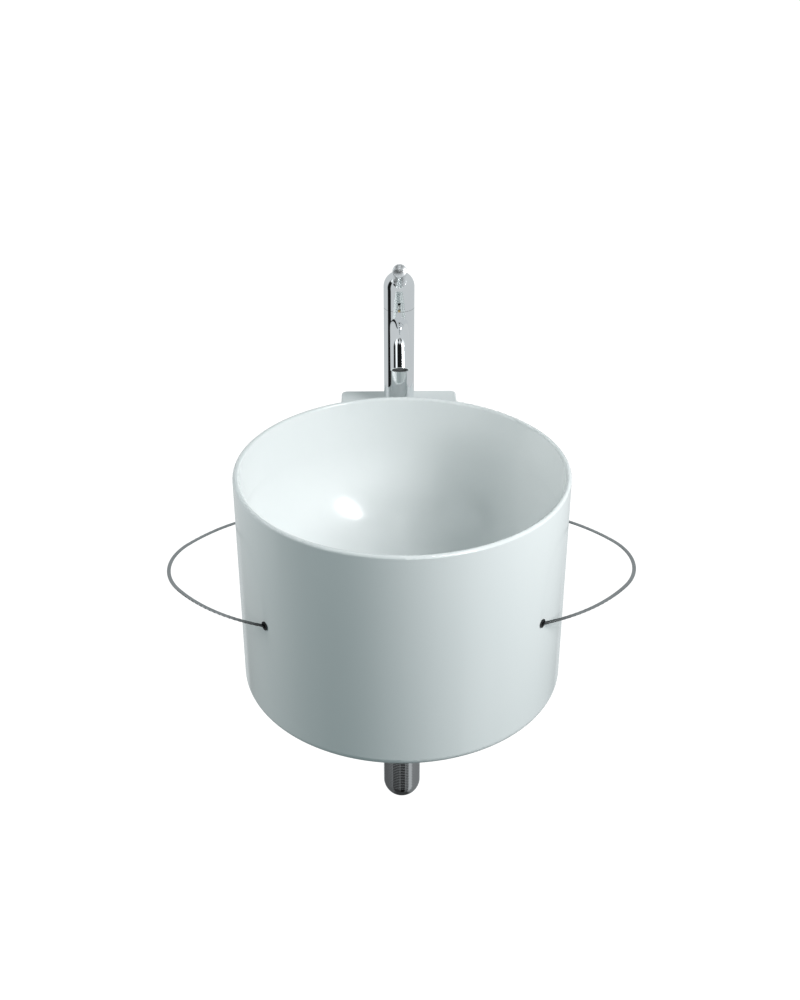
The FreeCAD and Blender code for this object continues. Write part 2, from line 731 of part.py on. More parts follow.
bushes = []
washers = []
nuts = []
for side, word in ((-1, "left"), (1, "right")):
    node(f"{word}_towel_hoop", make_hoop(side, word))
    for sign, end_word in ((-1, "front"), (1, "back")):
        spot = f"{word}_{end_word}"
        angle = hoop_place(side, sign)
        hole = doc.addObject("Part::Cylinder", f"{spot}_bush_hole")
        bind(hole, "Radius", bush_hole_radius)
        bind(hole, "Height", skirt_wall * 2)
        body_cuts.append(locate(hole, angle, skirt_inside - skirt_wall / 2))

        # A bush: lip and barrel, bored for the stud and slotted where the strip leaves it slantwise
        barrel = bush_hole_radius - thread_gap
        bore = stud_radius + thread_gap
        profile = [
            (bore, -skirt_wall),
            (barrel, -skirt_wall),
            (barrel, 0),
            (bush_radius, 0),
            (bush_radius, bush_lip),
            (bore, bush_lip),
        ]
        lip = locate(turned(f"{spot}_bush_ring", profile), angle, body_radius)
        slot_wide = hoop_width + strip_room
        slot_tall = hoop_thickness + strip_room
        slot = block(f"{spot}_bush_slot", bush_radius * 3, slot_wide, slot_tall)
        end_x, end_y = hoop_ends[sign]
        lean = arc_tangent(end_x - arm_middle_x, (end_y + arm_middle_y * sign) * sign)
        heading = -lean * sign if side > 0 else half_turn + lean * sign
        slot_x = end_x * side + slot_wide / 2 * sine(heading)
        slot_y = basin_y + hoop_shift + end_y - slot_wide / 2 * cosine(heading)
        slot_z = hoop_level - slot_tall / 2
        corner = f"create(<<vector>>; {slot_x.text}; {slot_y.text}; {slot_z.text})"
        ahead = f"create(<<rotation>>; {heading.text}; 0; 0)"
        slot.setExpression("Placement", f"create(<<placement>>; {corner}; {ahead})")
        bushes.append(cut(f"{spot}_bush", lip, slot))

        seat = across(skirt_inside, hoop_washer_radius) - thread_gap / 2
        ring = [
            (bore, -hoop_washer_thickness),
            (hoop_washer_radius, -hoop_washer_thickness),
            (hoop_washer_radius, 0),
            (bore, 0),
        ]
        washers.append(locate(turned(f"{spot}_washer", ring), angle, seat))
        nut_seat = seat - hoop_washer_thickness - hoop_nut_height
        outside = locate(hexagon(f"{spot}_nut_outside", hoop_nut_flats, hoop_nut_height), angle, nut_seat)
        inside = locate(rod(f"{spot}_nut_thread", bore, hoop_nut_height), angle, nut_seat)
        nuts.append(cut(f"{spot}_nut", outside, inside))

node("hoop_bushes", group("bush_group", *bushes), 4)
node("hoop_washers", group("washer_group", *washers), 4)
node("hoop_nuts", group("nut_group", *nuts), 4)
node("basin_body", cut("pierced_ceramic", ceramic, *body_cuts))

# ---------------------------------------------------------------- mixer tap

spigot_radius = tap_hole_radius - seam_gap
column_height = seam - tap_foot
column_corners = [
    (0, inlet_over_foot),
    (foot_bore_radius, inlet_over_foot),
    (foot_bore_radius, -tap_spigot_drop),
    (spigot_radius, -tap_spigot_drop),
    (spigot_radius, 0),
    (tap_radius, 0),
    (tap_radius, column_height),
    (thread_radius, column_height),
    (thread_radius, column_height - thread_depth),
    (chamber_radius, column_height - thread_depth),
    (chamber_radius, column_height - chamber_depth),
    (0, column_height - chamber_depth),
]
column = turned("column", column_corners, y=tap_y, z=tap_foot)
chamber_floor = seam - chamber_depth
column_cuts = [
    rod("spout_socket", spout_radius, tap_radius, y=tap_y - spout_root, z=spout_level, way="-Y"),
    rod("spout_port", waterway_radius * 2, spout_root, y=tap_y, z=spout_level, way="-Y"),
    rod("stud_thread", tap_stud_radius, tap_stud_grip, y=tap_y + tap_stud_back, z=inlet_level),
]
for side, word in ((-1, "left"), (1, "right")):
    inlet = {"x": inlet_offset * side, "y": tap_y - inlet_forward, "z": inlet_level}
    column_cuts.append(rod(f"{word}_inlet", inlet_radius, inlet_depth, **inlet))
    column_cuts.append(rod(f"{word}_waterway", waterway_radius, chamber_floor - inlet_level, **inlet))
node("tap_column", cut("bored_column", column, *column_cuts))
seal_edge = tap_radius - seam_gap
seal_inside = spigot_radius + thread_gap
under_tap = {"y": tap_y, "z": ledge_top}
node("tap_seal", tube("seal_under_tap", seal_edge, seal_inside, 0, tap_seal_thickness, **under_tap))

# The cartridge stands in the chamber and is held down by a ring nut
neck_foot = -thread_depth
pedestal_top = dome - seam - ball_seat_drop
ball_seat = lever_ball_radius + seam_gap
seat_edge = across(ball_seat, ball_seat_drop)
cartridge_corners = [
    (0, -chamber_depth),
    (chamber_radius - thread_gap, -chamber_depth),
    (chamber_radius - thread_gap, neck_foot),
    (neck_radius, neck_foot),
    (neck_radius, neck_top),
    (pedestal_radius, neck_top),
    (pedestal_radius, pedestal_top),
    (seat_edge, pedestal_top, -ball_seat),
    (0, dome - seam - ball_seat),
]
cartridge = turned("cartridge_shape", cartridge_corners, y=tap_y, z=seam)
outlet_window = rod("outlet_window", waterway_radius * 2, spout_root, y=tap_y, z=spout_level, way="-Y")
node("tap_cartridge", cut("cartridge_with_window", cartridge, outlet_window))
nut_edge = thread_radius - thread_gap
nut_bore = neck_radius + thread_gap
node("cartridge_nut", tube("ring_nut", nut_edge, nut_bore, neck_foot, bearing_lift / 2, y=tap_y, z=seam))

# The cap: a shell with a round dome, a notch in its lower edge and a slot for the lever's stem
cap_inside = tap_radius - cap_wall
dome_height = dome - seam
cap_corners = [
    (cap_inside, seam_gap),
    (tap_radius, seam_gap),
    (tap_radius, dome_height, tap_radius),
    (0, dome_height + tap_radius),
    (0, dome_height + cap_inside, -cap_inside),
    (cap_inside, dome_height),
]
cap_shell = turned("cap_shell", cap_corners, y=tap_y, z=seam)
notch = block(
    "notch",
    notch_width,
    tap_radius,
    notch_height,
    x=-notch_width / 2,
    y=tap_y - tap_radius - cap_wall,
    z=seam,
)
slot_half = lever_stem_radius + seam_gap
slot_reach = arc_sine(slot_half / cap_inside)
slot = rod("lever_slot", tap_radius + cap_wall, slot_half * 2)
bind(slot, "Angle", lever_travel + slot_reach * 2)
slot_base = f"create(<<vector>>; {(-slot_half).text}; {tap_y.text}; {dome.text})"
slot_turn = half_turn - (lever_angle + lever_travel + slot_reach)
slot_spin = f"create(<<rotation>>; create(<<vector>>; 1; 0; 0); {slot_turn.text}) * "
slot_spin += "create(<<rotation>>; 90; 0; 90)"
slot.setExpression("Placement", f"create(<<placement>>; {slot_base}; {slot_spin})")
node("tap_cap", cut("slotted_cap", cap_shell, notch, slot))
bearing_top = bearing_lift + bearing_height
at_seam = {"y": tap_y, "z": seam}
bearing = tube("bearing_ring", cap_inside, neck_radius + stem_gap, bearing_lift, bearing_top, **at_seam)
node("cap_bearing", bearing)

# The lever, drawn upright along its own axis from the middle of the dome
lever_spin = {"y": tap_y, "z": dome, "spin": sized(90) - lever_angle, "about": (1, 0, 0)}
collar_foot = tap_radius + seam_gap
collar_inside = lever_stem_radius + thread_gap
collar_top = collar_foot + collar_height
collar_corners = [
    (collar_inside, across(collar_foot, collar_inside), -collar_foot),
    (collar_radius, across(collar_foot, collar_radius)),
    (collar_radius, across(collar_foot, collar_radius) + collar_height / 2),
    (lever_ring_radius + seam_gap, collar_top),
    (collar_inside, collar_top),
]
node("lever_collar", turned("collar", collar_corners, **lever_spin))
ring_top = collar_top + lever_ring_height
node("lever_ring", tube("dark_ring", lever_ring_radius, collar_inside, collar_top, ring_top, **lever_spin))
ball_top = across(lever_ball_radius, lever_stem_radius)
stem_top = ring_top + (lever_length - ring_top) / 2
stem_corners = [
    (0, -lever_ball_radius, lever_ball_radius),
    (lever_ball_radius, 0, lever_ball_radius),
    (lever_stem_radius, ball_top),
    (lever_stem_radius, stem_top),
    (0, stem_top),
]
node("lever_stem", turned("stem", stem_corners, **lever_spin))
crown_radius = (lever_tip_radius * lever_tip_radius + lever_crown * lever_crown) / (lever_crown * 2)
crown_foot = lever_length - lever_crown
grip_corners = [
    (collar_inside, ring_top),
    (lever_base_radius, ring_top),
    (lever_tip_radius, crown_foot, crown_radius),
    (0, lever_length),
    (0, stem_top + thread_gap),
    (collar_inside, stem_top + thread_gap),
]


def on_tip_ring(point):
    return near(math.hypot(point.x, point.y), lever_tip_radius.number)


grip = turned("grip", grip_corners, **lever_spin)
round_edges(grip, "grip_edge", lever_edge, on_tip_ring)
node("lever_grip", grip)

# The spout: one tube swept along two straight stretches and a bend, with a seat for the aerator
spout = new_body("spout_tube")
bend_tangent = spout_bend * sine(spout_drop_angle) / (cosine(spout_drop_angle) + 1)
level_end = spout_corner - spout_root - bend_tangent
slant_x = bend_tangent * cosine(spout_drop_angle)
slant_y = bend_tangent * sine(spout_drop_angle)
crossing = spout_corner - spout_root
mouth_x = crossing + spout_slant * cosine(spout_drop_angle)
mouth_y = spout_slant * sine(spout_drop_angle)
spout_route = [
    (0, 0),
    (-level_end, 0, spout_bend),
    (-(crossing + slant_x), -slant_y),
    (-mouth_x, -mouth_y),
]
spout_path = draw(spout, "spout_path", "YZ_Plane", spout_route, closed=False)
spout_section = spout.newObject("Sketcher::SketchObject", "spout_section")
spout_section.AttachmentSupport = (plane(spout, "XZ_Plane"), [""])
spout_section.MapMode = "FlatFace"
for number, radius in enumerate((spout_radius, spout_bore)):
    circle = Part.Circle(FreeCAD.Vector(0, 0, 0), FreeCAD.Vector(0, 0, 1), radius.number)
    spout_section.addGeometry(circle, False)
    spout_section.addConstraint(Sketcher.Constraint("Coincident", number, 3, -1, 1))
    bound = spout_section.addConstraint(Sketcher.Constraint("Radius", number, radius.number))
    spout_section.setExpression(f"Constraints[{bound}]", radius.text)
feature(spout, "AdditivePipe", "spout_sweep", spout_section, Spine=(spout_path, []), Mode=0)
place(spout, y=tap_y - spout_root, z=spout_level)
mouth = {"spin": sized(90) - spout_drop_angle, "about": (-1, 0, 0)}
mouth["y"] = tap_y - spout_root - mouth_x
mouth["z"] = spout_level - mouth_y
before_mouth = dict(mouth)
before_mouth["y"] = mouth["y"] - cosine(spout_drop_angle) * past
before_mouth["z"] = mouth["z"] - sine(spout_drop_angle) * past
aerator_seat = rod("aerator_seat", mouth_radius, mouth_depth + past, **before_mouth)
node("tap_spout", cut("spout_shape", spout, aerator_seat))

# The aerator, measured inwards from the mouth: a housing and an insert with a ring of fine holes
housing_edge = mouth_radius - thread_gap
housing_inside = housing_edge - aerator_wall
housing_corners = [
    (spout_bore - aerator_wall, mouth_depth - aerator_wall),
    (housing_inside, mouth_depth - aerator_wall),
    (housing_inside, aerator_inset),
    (housing_edge, aerator_inset),
    (housing_edge, mouth_depth),
    (spout_bore - aerator_wall, mouth_depth),
]
node("aerator_housing", turned("housing", housing_corners, **mouth))
insert_foot = aerator_inset * 2
insert_top = insert_foot + aerator_insert_height
insert_corners = [
    (0, insert_foot),
    (housing_inside - thread_gap, insert_foot),
    (housing_inside - thread_gap, insert_top),
    (0, insert_top),
]
aerator_hole_count = 12
insert = turned("insert", insert_corners, **mouth)
doc.recompute()
hole_sketch = insert.newObject("Sketcher::SketchObject", "hole_sketch")
hole_sketch.AttachmentSupport = (plane(insert, "XY_Plane"), [""])
hole_sketch.MapMode = "FlatFace"
hole_centre = FreeCAD.Vector(aerator_hole_circle.number, 0, 0)
hole_shape = Part.Circle(hole_centre, FreeCAD.Vector(0, 0, 1), aerator_hole.number)
hole_sketch.addGeometry(hole_shape, False)
tie(hole_sketch, 0, 3, (aerator_hole_circle, sized(0)))
bound = hole_sketch.addConstraint(Sketcher.Constraint("Radius", 0, aerator_hole.number))
hole_sketch.setExpression(f"Constraints[{bound}]", aerator_hole.text)
fine_hole = feature(insert, "Pocket", "fine_hole", hole_sketch, Type=1, Reversed=True)
hole_pattern = insert.newObject("PartDesign::PolarPattern", "hole_pattern")
hole_pattern.Originals = [fine_hole]
hole_pattern.Axis = (hole_sketch, ["N_Axis"])
hole_pattern.Angle = 360
hole_pattern.Occurrences = aerator_hole_count
insert.Tip = hole_pattern
node("aerator_insert", insert)

# ---------------------------------------------------------------- what clamps the tap to its ledge


def horseshoe(name, thickness, top):
    """A round plate with an open mouth for the hoses and a hole for the stud."""
    plate = rod(f"{name}_disc", clamp_radius, thickness, y=tap_y, z=top - thickness)
    gap = block(
        f"{name}_mouth",
        clamp_mouth,
        clamp_radius + clamp_back + past,
        thickness,
        x=-clamp_mouth / 2,
        y=tap_y - clamp_radius - past,
        z=top - thickness,
    )
    hole = rod(f"{name}_hole", stud_hole, thickness, y=tap_y + tap_stud_back, z=top - thickness)
    return cut(f"{name}_shape", plate, gap, hole)


stud_hole = tap_stud_radius + thread_gap
ledge_ceiling = ledge_foot - ledge_wall + ledge_drop
node("clamp_pad", horseshoe("pad", pad_thickness, ledge_ceiling))
node("clamp_plate", horseshoe("plate", plate_thickness, ledge_ceiling - pad_thickness))
stud_y = tap_y + tap_stud_back
stud_nut_top = ledge_ceiling - pad_thickness - plate_thickness
stud_nut_foot = stud_nut_top - stud_nut_height
stud_foot = stud_nut_foot - tap_stud_tail
stud_top = inlet_level + tap_stud_grip
node("tap_stud", rod("stud", tap_stud_radius, stud_top - stud_foot, y=stud_y, z=stud_foot))
stud_nut = hexagon("stud_nut_outside", stud_nut_flats, stud_nut_height, y=stud_y, z=stud_nut_foot)
stud_thread = rod("stud_nut_thread", stud_hole, stud_nut_height, y=stud_y, z=stud_nut_foot)
node("tap_stud_nut", cut("stud_nut", stud_nut, stud_thread))

# ---------------------------------------------------------------- push-open waste
# Heights in these pieces count from the underside of the flange.

waste = {"y": basin_y, "z": flange_foot}
flange_corners = [
    (tail_bore, -tail_length),
    (tail_radius, -tail_length),
    (tail_radius, 0),
    (flange_radius, 0),
    (flange_radius, flange_thickness / 2, flange_thickness),
    (flange_radius - flange_thickness / 2, flange_thickness),
    (tail_bore + flange_thickness, flange_thickness),
    (tail_bore, 0),
]
node("waste_flange", turned("flange", flange_corners, **waste))
screw_bore = tail_radius + thread_gap
node("waste_upper_seal", tube("upper_seal", waste_ring_radius, screw_bore, -seal_thickness, 0, **waste))
boss_depth = flange_foot - boss_foot
washer_top = -boss_depth - lower_seal_height
nut_top = washer_top - waste_washer_thickness
lower_corners = [
    (screw_bore, washer_top),
    (waste_ring_radius, washer_top),
    (waste_ring_radius, -boss_depth),
    (screw_bore, -boss_depth),
]
node("waste_lower_seal", turned("lower_seal", lower_corners, **waste))
node("waste_washer", tube("washer", waste_ring_radius, screw_bore, nut_top, washer_top, **waste))
lock_nut = hexagon(
    "lock_nut_outside",
    waste_nut_flats,
    waste_nut_height,
    y=basin_y,
    z=flange_foot + nut_top - waste_nut_height,
)
lock_thread = rod(
    "lock_nut_thread",
    screw_bore,
    waste_nut_height,
    y=basin_y,
    z=flange_foot + nut_top - waste_nut_height,
)
node("waste_nut", cut("lock_nut", lock_nut, lock_thread))

# The guide's bore carries the plug's stem, and its ring of holes lets the water through
guide_top = -guide_drop
guide_corners = [
    (plug_stem_radius + stem_gap, guide_top - guide_height),
    (tail_bore - thread_gap, guide_top - guide_height),
    (tail_bore - thread_gap, guide_top),
    (plug_stem_radius + stem_gap, guide_top),
]
guide = turned("guide", guide_corners, **waste)
guide_foot = flange_foot + guide_top - guide_height
water_holes = []
guide_hole_count = 6
for number in range(guide_hole_count):
    turned_to = sized(360 / guide_hole_count * number)
    hole_x = guide_hole_circle * cosine(turned_to)
    hole_y = basin_y + guide_hole_circle * sine(turned_to)
    hole = rod(f"water_hole_{number}", guide_hole_radius, guide_height, x=hole_x, y=hole_y, z=guide_foot)
    water_holes.append(hole)
node("plug_guide", cut("guide_with_holes", guide, *water_holes))

plug_foot = flange_thickness + plug_gap
plug_top = plug_foot + plug_edge + plug_crown
crown_sphere = (plug_radius * plug_radius + plug_crown * plug_crown) / (plug_crown * 2)
plug_corners = [
    (0, plug_foot),
    (plug_radius, plug_foot),
    (plug_radius, plug_foot + plug_edge, crown_sphere),
    (0, plug_top),
]
node("waste_plug", turned("plug", plug_corners, **waste))
stem_foot = flange_top + plug_gap - plug_stem_length
node("plug_stem", rod("plug_rod", plug_stem_radius, plug_stem_length, y=basin_y, z=stem_foot))
plug_seal_inside = plug_seal_radius - plug_seal_width
plug_seal_foot = plug_foot - plug_seal_height
node("plug_seal", tube("plug_ring", plug_seal_radius, plug_seal_inside, plug_seal_foot, plug_foot, **waste))

# ---------------------------------------------------------------- bottle trap

# Nut, seal and pipe under the waste tail
inlet = {"y": basin_y, "z": tail_end}
nut_floor = -inlet_nut_floor - pipe_seal_height - pipe_wall
inlet_nut_corners = [
    (pipe_radius + thread_gap, nut_floor),
    (inlet_nut_radius, nut_floor),
    (inlet_nut_radius, nut_floor + inlet_nut_height),
    (screw_bore, nut_floor + inlet_nut_height),
    (screw_bore, nut_floor + inlet_nut_floor),
    (pipe_radius + thread_gap, nut_floor + inlet_nut_floor),
]
node("trap_inlet_nut", turned("inlet_nut", inlet_nut_corners, **inlet))
pipe_bore = pipe_radius - pipe_wall
inlet_pipe_corners = [
    (pipe_bore, -(tail_end - foot) - dip_drop),
    (pipe_radius, -(tail_end - foot) - dip_drop),
    (pipe_radius, nut_floor + inlet_nut_floor),
    (tail_radius - thread_gap, nut_floor + inlet_nut_floor),
    (tail_radius - thread_gap, -pipe_seal_height),
    (pipe_bore, -pipe_seal_height),
]
node("trap_inlet_pipe", turned("inlet_pipe", inlet_pipe_corners, **inlet))
inlet_seal_edge = tail_radius - thread_gap
node("trap_inlet_seal", tube("inlet_seal", inlet_seal_edge, tail_bore, -pipe_seal_height, 0, **inlet))

# Trap body with its inlet collar on top and its outlet collar towards the wall
trap_inside = trap_radius - trap_wall
spigot_edge = trap_inside - thread_gap
spigot_bore = spigot_edge - trap_wall
pipe_way = pipe_radius + thread_gap
trap = {"y": basin_y, "z": trap_foot}
trap_corners = [
    (spigot_bore, -cup_seal_height - trap_spigot),
    (spigot_edge, -cup_seal_height - trap_spigot),
    (spigot_edge, 0),
    (trap_radius, 0),
    (trap_radius, trap_head),
    (collar_pipe_radius, trap_head),
    (collar_pipe_radius, trap_head + collar_pipe_height),
    (pipe_way, trap_head + collar_pipe_height),
    (pipe_way, trap_head - trap_roof),
    (spigot_bore, trap_head - trap_roof),
]
trap_shell = turned("trap_shell", trap_corners, **trap)
outlet = {"y": basin_y, "z": outlet_level, "way": "+Y"}
collar_rod = rod("outlet_collar", collar_pipe_radius, outlet_collar_length, **outlet)
inner_room = rod("trap_room", spigot_bore, trap_head - trap_roof, **trap)
outlet_way = rod("outlet_way", pipe_way, outlet_collar_length, **outlet)
trap_outside = fuse("trap_with_collar", trap_shell, collar_rod)
node("trap_body", cut("trap_shape", trap_outside, inner_room, outlet_way))
top_nut = {"y": basin_y, "z": trap_top}


def gland_nut(name, **where):
    """A round nut over a pipe collar, with a floor that closes on the pipe."""
    floor = collar_pipe_height + pipe_seal_height
    corners = [
        (pipe_way, floor),
        (collar_pipe_radius + thread_gap, floor),
        (collar_pipe_radius + thread_gap, floor - gland_nut_height + pipe_wall),
        (gland_nut_radius, floor - gland_nut_height + pipe_wall),
        (gland_nut_radius, floor + inlet_nut_floor),
        (pipe_way, floor + inlet_nut_floor),
    ]
    return turned(name, corners, **where)


def gland_seal(name, **where):
    """The rubber ring that a gland nut presses on to its pipe."""
    top = collar_pipe_height + pipe_seal_height
    return tube(name, collar_pipe_radius, pipe_way, collar_pipe_height, top, **where)


node("trap_top_nut", gland_nut("top_nut", **top_nut))
node("trap_top_seal", gland_seal("top_seal", **top_nut))
outlet_face = {"y": basin_y + outlet_collar_length - collar_pipe_height, "z": outlet_level, "way": "+Y"}
node("trap_outlet_nut", gland_nut("outlet_nut", **outlet_face))
node("trap_outlet_seal", gland_seal("outlet_seal", **outlet_face))
outlet_length = axis_to_wall - outlet_collar_length + outlet_insert + outlet_past_wall
outlet_start = {"y": basin_y + outlet_collar_length - outlet_insert, "z": outlet_level, "way": "+Y"}
line_end = outlet_length - outlet_past_wall
line_floor = pipe_radius - depth_line_cut
outlet_pipe_corners = [
    (pipe_bore, 0),
    (pipe_radius, 0),
    (pipe_radius, line_end - depth_line),
    (line_floor, line_end - depth_line),
    (line_floor, line_end),
    (pipe_radius, line_end),
    (pipe_radius, outlet_length),
    (pipe_bore, outlet_length),
]
node("trap_outlet_pipe", turned("outlet_pipe", outlet_pipe_corners, **outlet_start))
rosette_bore = pipe_radius + rosette_gap
rosette_bend = rosette_radius - rosette_bore - rosette_depth / 2
rosette_lip = -rosette_wall * 2
rosette_corners = [
    (rosette_bore, rosette_lip),
    (rosette_bore, -rosette_depth),
    (rosette_bore + rosette_bend, -rosette_depth),
    (rosette_radius, rosette_lip),
    (rosette_radius, 0),
    (rosette_radius - rosette_wall, 0),
    (rosette_radius - rosette_wall, -rosette_wall),
    (rosette_bore + rosette_bend, -rosette_depth + rosette_wall),
    (rosette_bore + rosette_wall, -rosette_depth + rosette_wall),
    (rosette_bore + rosette_wall, rosette_lip),
]
node("wall_rosette", turned("rosette", rosette_corners, z=outlet_level, way="+Y"))

# The cup unscrews from the body; its end is round
cup_corners = [
    (0, -trap_radius, trap_radius),
    (trap_radius, 0),
    (trap_radius, cup_length),
    (trap_inside, cup_length),
    (trap_inside, 0, -trap_inside),
    (0, -trap_inside),
]
node("trap_cup", turned("cup", cup_corners, y=basin_y, z=cup_centre))
node("trap_cup_seal", tube("cup_seal", trap_radius - thread_gap, trap_inside, -cup_seal_height, 0, **trap))

# ---------------------------------------------------------------- check and write

doc.recompute()
for item in doc.Objects:
    if "Invalid" in item.State or "Error" in item.State:
        raise RuntimeError(f"{item.Label} failed: {item.State} {item.getStatusString()}")
os.makedirs("parts", exist_ok=True)
for name, (item, count) in nodes.items():
    shape = item.Shape
    if shape.isNull() or not shape.isValid() or len(shape.Solids) != count:
        raise RuntimeError(f"{name} has {len(shape.Solids)} solids, or isn't valid")
for name, (item, count) in nodes.items():
    item.Shape.exportStep(f"parts/{name}.step")
    box = item.Shape.BoundBox
    spans = f"{box.XMin:8.1f}{box.XMax:8.1f}{box.YMin:8.1f}{box.YMax:8.1f}{box.ZMin:8.1f}{box.ZMax:8.1f}"
    print(f"{name:20s}{count:3d}{item.Shape.Volume / 1000:10.2f} cm3 {spans}")
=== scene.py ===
import math

import bpy
from mathutils import Euler, Matrix, Vector


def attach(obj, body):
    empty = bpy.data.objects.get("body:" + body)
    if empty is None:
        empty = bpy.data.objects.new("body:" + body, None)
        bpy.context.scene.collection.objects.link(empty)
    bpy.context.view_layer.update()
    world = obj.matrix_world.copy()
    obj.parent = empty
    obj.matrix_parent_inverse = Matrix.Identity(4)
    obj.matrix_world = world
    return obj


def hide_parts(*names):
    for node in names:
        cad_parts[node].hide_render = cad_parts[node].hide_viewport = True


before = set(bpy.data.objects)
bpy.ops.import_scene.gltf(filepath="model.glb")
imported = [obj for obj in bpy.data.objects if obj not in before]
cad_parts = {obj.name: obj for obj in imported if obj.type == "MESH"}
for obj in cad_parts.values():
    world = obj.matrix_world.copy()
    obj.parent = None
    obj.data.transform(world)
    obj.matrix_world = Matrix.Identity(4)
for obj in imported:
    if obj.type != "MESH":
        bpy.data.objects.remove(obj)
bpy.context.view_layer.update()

# ---------------------------------------------------------------- studio
# A plain pale floor 85 cm under the basin's rim, and a surround that is white to the camera, a dim
# glow to the surfaces, and a grey room with dark and light stretches to what mirrors it.
# The camera stands a little left of the basin's middle, 1.4 m in front of it and looking down.


class Field:
    """A socket of a node tree. An expression on it adds Math nodes to that tree."""

    def __init__(self, tree, socket):
        self.tree = tree
        self.socket = socket

    def maths(self, operation, *others):
        math_node = self.tree.nodes.new("ShaderNodeMath")
        math_node.operation = operation
        for place, value in enumerate((self, *others)):
            plug_in(self.tree, math_node.inputs[place], value)
        return Field(self.tree, math_node.outputs[0])

    def __add__(self, other):
        return self.maths("ADD", other)

    def __mul__(self, other):
        return self.maths("MULTIPLY", other)

    def __sub__(self, other):
        return self.maths("SUBTRACT", other)

    def __rsub__(self, other):
        return self.maths("MULTIPLY", -1) + other

    def __truediv__(self, other):
        return self.maths("DIVIDE", other)

    __radd__ = __add__
    __rmul__ = __mul__

    def above(self, edge, soft):
        """0 below the edge and 1 above it, over a soft step."""
        return ((self - edge) / soft + 0.5).maths("MINIMUM", 1).maths("MAXIMUM", 0)

    def below(self, edge, soft):
        return 1 - self.above(edge, soft)

    def between(self, low, high, soft):
        return self.above(low, soft) * self.below(high, soft)


def plug_in(tree, target, value):
    if isinstance(value, Field):
        tree.links.new(value.socket, target)
    else:
        target.default_value = value


def add_node(tree, kind, settings=(), out=0, feeds=(), **inputs):
    """Any node but a Math node: its settings first, then the values or links of its sockets. Feeds
    go to the sockets in order, and the others to the socket of that name, with _ for a space."""
    made = tree.nodes.new(kind)
    for name, value in dict(settings).items():
        setattr(made, name, value)
    for place, value in enumerate(feeds):
        plug_in(tree, made.inputs[place], value)
    for name, value in inputs.items():
        found = [s for s in made.inputs if s.name == name.replace("_", " ") and s.enabled]
        plug_in(tree, found[0], value)
    return Field(tree, made.outputs[out])


def fill_tree(owner):
    """An owner's empty node tree."""
    owner.use_nodes = True
    owner.node_tree.nodes.clear()
    return owner.node_tree


def end_tree(tree, kind, shader):
    """Plugs a shader into the tree's output."""
    tree.links.new(shader.socket, tree.nodes.new(kind).inputs["Surface"])


AMBIENT = (0.76, 0.99, 1.02, 1)
AMBIENT_LEVEL = 0.24
WHITE = (1, 1, 1, 1)
WHITE_LEVEL = 1.1

FLOOR_HEIGHT = -0.764
FLOOR_REACH = 40
floor_corners = []
for side_x, side_y in ((-1, -1), (1, -1), (1, 1), (-1, 1)):
    floor_corners.append((side_x * FLOOR_REACH, side_y * FLOOR_REACH, FLOOR_HEIGHT))
floor_mesh = bpy.data.meshes.new("floor")
floor_mesh.from_pydata(floor_corners, [], [(0, 1, 2, 3)])
floor = bpy.data.objects.new("floor", floor_mesh)
bpy.context.scene.collection.objects.link(floor)
floor.visible_glossy = False

# The floor is white to the eye and a dimmer glow to the basin's underside
pale_floor = bpy.data.materials.new("pale_floor")
tree = fill_tree(pale_floor)
seen = add_node(tree, "ShaderNodeLightPath", out="Is Camera Ray")
glow = add_node(tree, "ShaderNodeEmission", Color=AMBIENT, Strength=AMBIENT_LEVEL)
white = add_node(tree, "ShaderNodeEmission", Color=WHITE, Strength=WHITE_LEVEL)
both = add_node(tree, "ShaderNodeMixShader", feeds=(seen, glow, white))
end_tree(tree, "ShaderNodeOutputMaterial", both)
floor_mesh.materials.append(pale_floor)

# The room that only mirror rays see. Each stretch of it: its azimuths from the front towards the
# right and its rises above the horizon, both in degrees, the width of its soft edge, and its level
ROOM_TINT = (0.93, 0.98, 1, 1)
ROOM_LEVEL = 0.6
CEILING_LIFT = 0.04
STRETCHES = (
    ((-300, 300), (-100, -54), 12, 0.04),
    ((-94, -64), (-31, 45), 5, 0.01),
    ((-150, -62), (-70, -33), 5, 0.1),
    ((-62, -12), (-70, -33), 5, 0.032),
    ((-12, 22), (-70, -33), 5, 0.008),
    ((22, 44), (-70, -33), 5, 0.09),
    ((44, 66), (-60, -33), 5, 0.42),
    ((66, 150), (-70, -33), 5, 0.2),
    ((-88, -50), (34, 62), 6, 1.25),
    ((40, 80), (34, 62), 6, 1.1),
    ((-46, 31), (39, 59), 3, 0.01),
    ((-60, -14), (64, 84), 6, 0.02),
    ((14, 60), (64, 84), 6, 0.02),
    ((-10, 10), (64, 84), 6, 1.4),
)
TO_DEGREES = 180 / math.pi
world = bpy.context.scene.world or bpy.data.worlds.new("surround")
bpy.context.scene.world = world
tree = fill_tree(world)
world.cycles.sampling_method = "NONE"
way = add_node(tree, "ShaderNodeTexCoord")
turns = [add_node(tree, "ShaderNodeSeparateXYZ", feeds=(way,), out=axis) for axis in "XYZ"]
azimuth = turns[0].maths("ARCTAN2", 0 - turns[1]) * TO_DEGREES
rise = turns[2].maths("ARCSINE") * TO_DEGREES
level = CEILING_LIFT * rise.above(0, 120) + ROOM_LEVEL
for azimuths, rises, soft, shade in STRETCHES:
    inside = azimuth.between(*azimuths, soft) * rise.between(*rises, soft * 1.5)
    level = level * (1 - inside) + shade * inside
room = add_node(tree, "ShaderNodeBackground", Color=ROOM_TINT, Strength=level)
dim = add_node(tree, "ShaderNodeBackground", Color=AMBIENT, Strength=AMBIENT_LEVEL)
plain = add_node(tree, "ShaderNodeBackground", Color=WHITE, Strength=WHITE_LEVEL)
mirrored = add_node(tree, "ShaderNodeLightPath", out="Is Glossy Ray")
